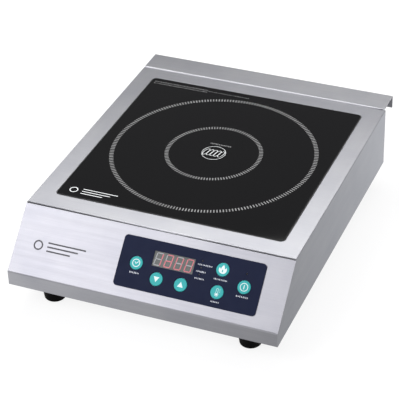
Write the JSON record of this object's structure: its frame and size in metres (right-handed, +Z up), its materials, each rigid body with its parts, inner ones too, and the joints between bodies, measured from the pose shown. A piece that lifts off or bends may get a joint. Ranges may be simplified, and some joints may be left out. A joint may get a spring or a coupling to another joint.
{
  "type": "countertop induction hob",
  "caption": "Countertop commercial induction hob: steel case, black glass cooking zone, sloping front with round keys and display, rear ledge, rubber feet.",
  "frame": {"origin": "centre of the overall footprint, on the surface that the rubber feet rest on", "axes": "+X to the right as the user faces the controls, +Y to the back, +Z up; the control panel faces -Y"},
  "size_m": [0.327, 0.425, 0.1055],
  "materials": {
    "case_steel": "fine brushed stainless steel",
    "pan_steel": "zinc-plated sheet",
    "screw_steel": "zinc-plated",
    "black_glass": "polished black ceramic glass",
    "seal_rubber": "matt silicone",
    "foot_rubber": "matt moulded rubber",
    "navy_film": "satin printed film",
    "display_window": "smoked window",
    "display_body": "moulded",
    "circuit_board": "solder resist",
    "black_plastic": "moulded",
    "key_teal": "satin moulded plastic with a white pictogram",
    "lamp_lens": "clear tinted lens",
    "mica": "pressed mica",
    "copper_wire": "enamelled copper wire",
    "white_plastic": "moulded",
    "bracket_aluminium": "mill finish",
    "ferrite": "sintered ferrite",
    "capacitor_blue": "potted box",
    "grey_cable": "PVC"
  },
  "bodies": {
    "case": {"top_casing": "case_steel", "front_panel": "case_steel", "rear_panel": "case_steel", "base_pan": "pan_steel", "glass_plate": "black_glass", "glass_seal": "seal_rubber", "foot_front_left": "foot_rubber", "foot_front_right": "foot_rubber", "foot_rear_left": "foot_rubber", "foot_rear_right": "foot_rubber", "foot_screw_front_left": "screw_steel", "foot_screw_front_right": "screw_steel", "foot_screw_rear_left": "screw_steel", "foot_screw_rear_right": "screw_steel", "control_overlay": "navy_film", "display_window": "display_window", "display_module": "display_body", "control_board": "circuit_board", "board_carrier": "black_plastic", "switch_timer": "black_plastic", "switch_down": "black_plastic", "switch_up": "black_plastic", "switch_heating": "black_plastic", "switch_temperature": "black_plastic", "switch_power": "black_plastic", "lamp_heating": "lamp_lens", "lamp_temperature": "lamp_lens", "lamp_timer": "lamp_lens", "lamp_power": "lamp_lens", "mica_sheet": "mica", "coil_winding": "copper_wire", "coil_former": "white_plastic", "temperature_sensor": "white_plastic", "coil_bracket": "bracket_aluminium", "ferrite_bar_1": "ferrite", "ferrite_bar_2": "ferrite", "ferrite_bar_3": "ferrite", "ferrite_bar_4": "ferrite", "ferrite_bar_5": "ferrite", "ferrite_bar_6": "ferrite", "power_board": "circuit_board", "heatsink": "bracket_aluminium", "igbt": "black_plastic", "bridge_rectifier": "black_plastic", "dc_link_capacitor": "capacitor_blue", "resonant_capacitor": "white_plastic", "mains_filter_capacitor": "capacitor_blue", "filter_choke": "copper_wire", "terminal_block": "white_plastic", "ribbon_cable": "grey_cable", "fan_frame": "black_plastic", "cable_gland": "black_plastic", "gland_nut": "black_plastic"},
    "timer_key": {"key_timer": "key_teal"},
    "down_key": {"key_down": "key_teal"},
    "up_key": {"key_up": "key_teal"},
    "heating_key": {"key_heating": "key_teal"},
    "temperature_key": {"key_temperature": "key_teal"},
    "power_key": {"key_power": "key_teal"},
    "fan": {"fan_rotor": "black_plastic"}
  },
  "joints": [
    {"name": "timer_key_press", "type": "slide", "parent": "case", "child": "timer_key", "axis": [0, 0.7005, -0.7137], "range_m": [0, 0.0005], "stiffness_N_per_m": 2000},
    {"name": "down_key_press", "type": "slide", "parent": "case", "child": "down_key", "axis": [0, 0.7005, -0.7137], "range_m": [0, 0.0005], "stiffness_N_per_m": 2000},
    {"name": "up_key_press", "type": "slide", "parent": "case", "child": "up_key", "axis": [0, 0.7005, -0.7137], "range_m": [0, 0.0005], "stiffness_N_per_m": 2000},
    {"name": "heating_key_press", "type": "slide", "parent": "case", "child": "heating_key", "axis": [0, 0.7005, -0.7137], "range_m": [0, 0.0005], "stiffness_N_per_m": 2000},
    {"name": "temperature_key_press", "type": "slide", "parent": "case", "child": "temperature_key", "axis": [0, 0.7005, -0.7137], "range_m": [0, 0.0005], "stiffness_N_per_m": 2000},
    {"name": "power_key_press", "type": "slide", "parent": "case", "child": "power_key", "axis": [0, 0.7005, -0.7137], "range_m": [0, 0.0005], "stiffness_N_per_m": 2000},
    {"name": "fan_spin", "type": "hinge", "parent": "case", "child": "fan", "pos_m": [-0.06, 0.125, 0.042], "axis": [0, 0, 1], "continuous": true}
  ]
}
